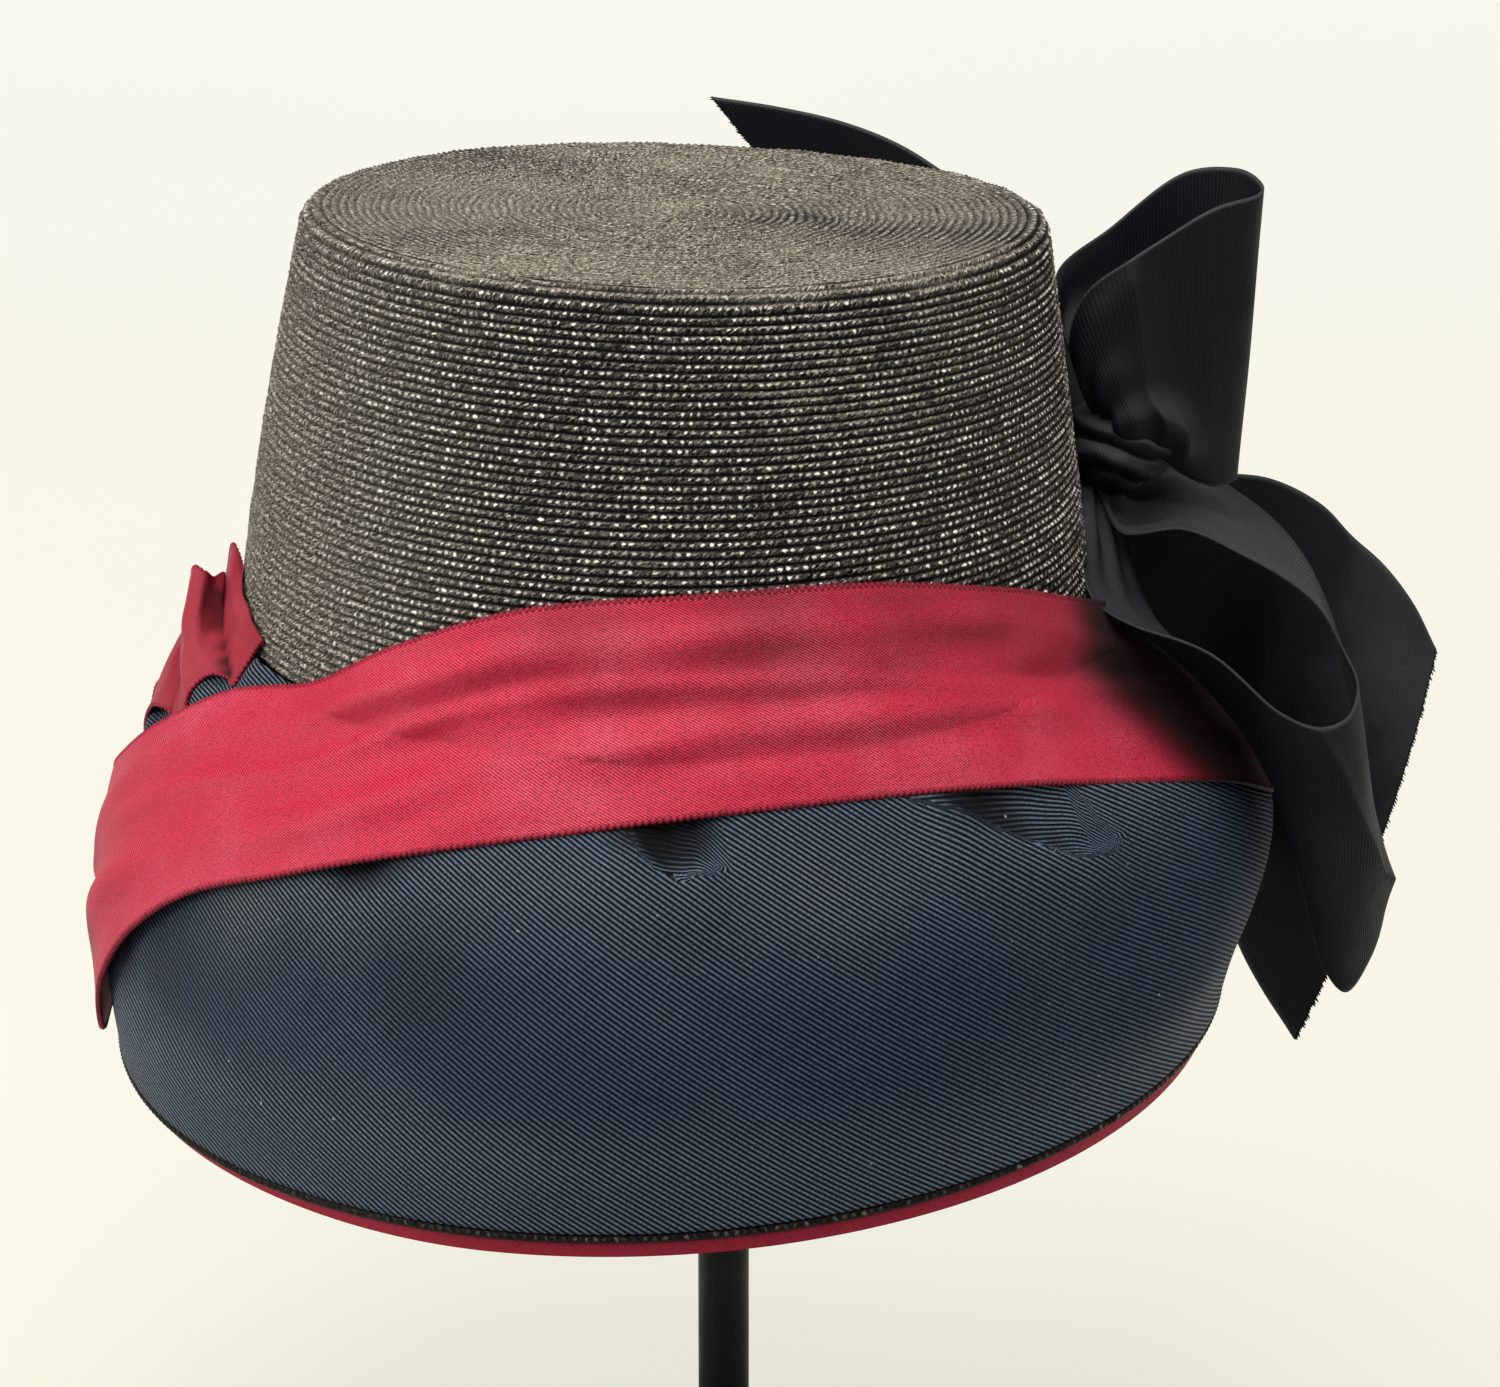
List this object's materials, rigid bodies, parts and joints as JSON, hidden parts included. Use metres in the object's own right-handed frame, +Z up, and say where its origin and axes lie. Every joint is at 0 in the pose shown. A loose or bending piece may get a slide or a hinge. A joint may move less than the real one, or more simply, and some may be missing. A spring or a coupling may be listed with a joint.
{
  "type": "bonnet on a stand",
  "caption": "Straw bonnet with a tall crown, a silk-covered bell brim, a wide ribbon across the front, a gathered frill behind and a bow at the side, held on a post stand.",
  "frame": {"origin": "centre of the underside of the stand's foot, on the post's axis", "axes": "+Z up along the post, -Y the way the bonnet's front faces, +X the side with the bow"},
  "size_m": [0.3034, 0.2602, 0.3331],
  "materials": {
    "straw": "dark sewn straw plait, dusty and glinting",
    "navy_silk": "ribbed silk with a soft sheen",
    "lining_cloth": "crimson lining silk",
    "crimson_ribbon": "crimson woven ribbon with corded selvages",
    "bow_ribbon": "dark grosgrain ribbon",
    "stand_metal": "black paint, satin",
    "stand_wood": "black paint on wood, matt"
  },
  "bodies": {
    "root": {"crown": "straw", "brim": "straw", "brim_cover": "navy_silk", "brim_lining": "lining_cloth", "front_ribbon": "crimson_ribbon", "back_frill": "crimson_ribbon", "bow_knot": "bow_ribbon", "bow_upper_loop": "bow_ribbon", "bow_lower_loop": "bow_ribbon", "bow_top_tail": "bow_ribbon", "bow_side_tail": "bow_ribbon", "stand_base": "stand_metal", "stand_post": "stand_metal", "stand_cap": "stand_wood"}
  },
  "joints": []
}
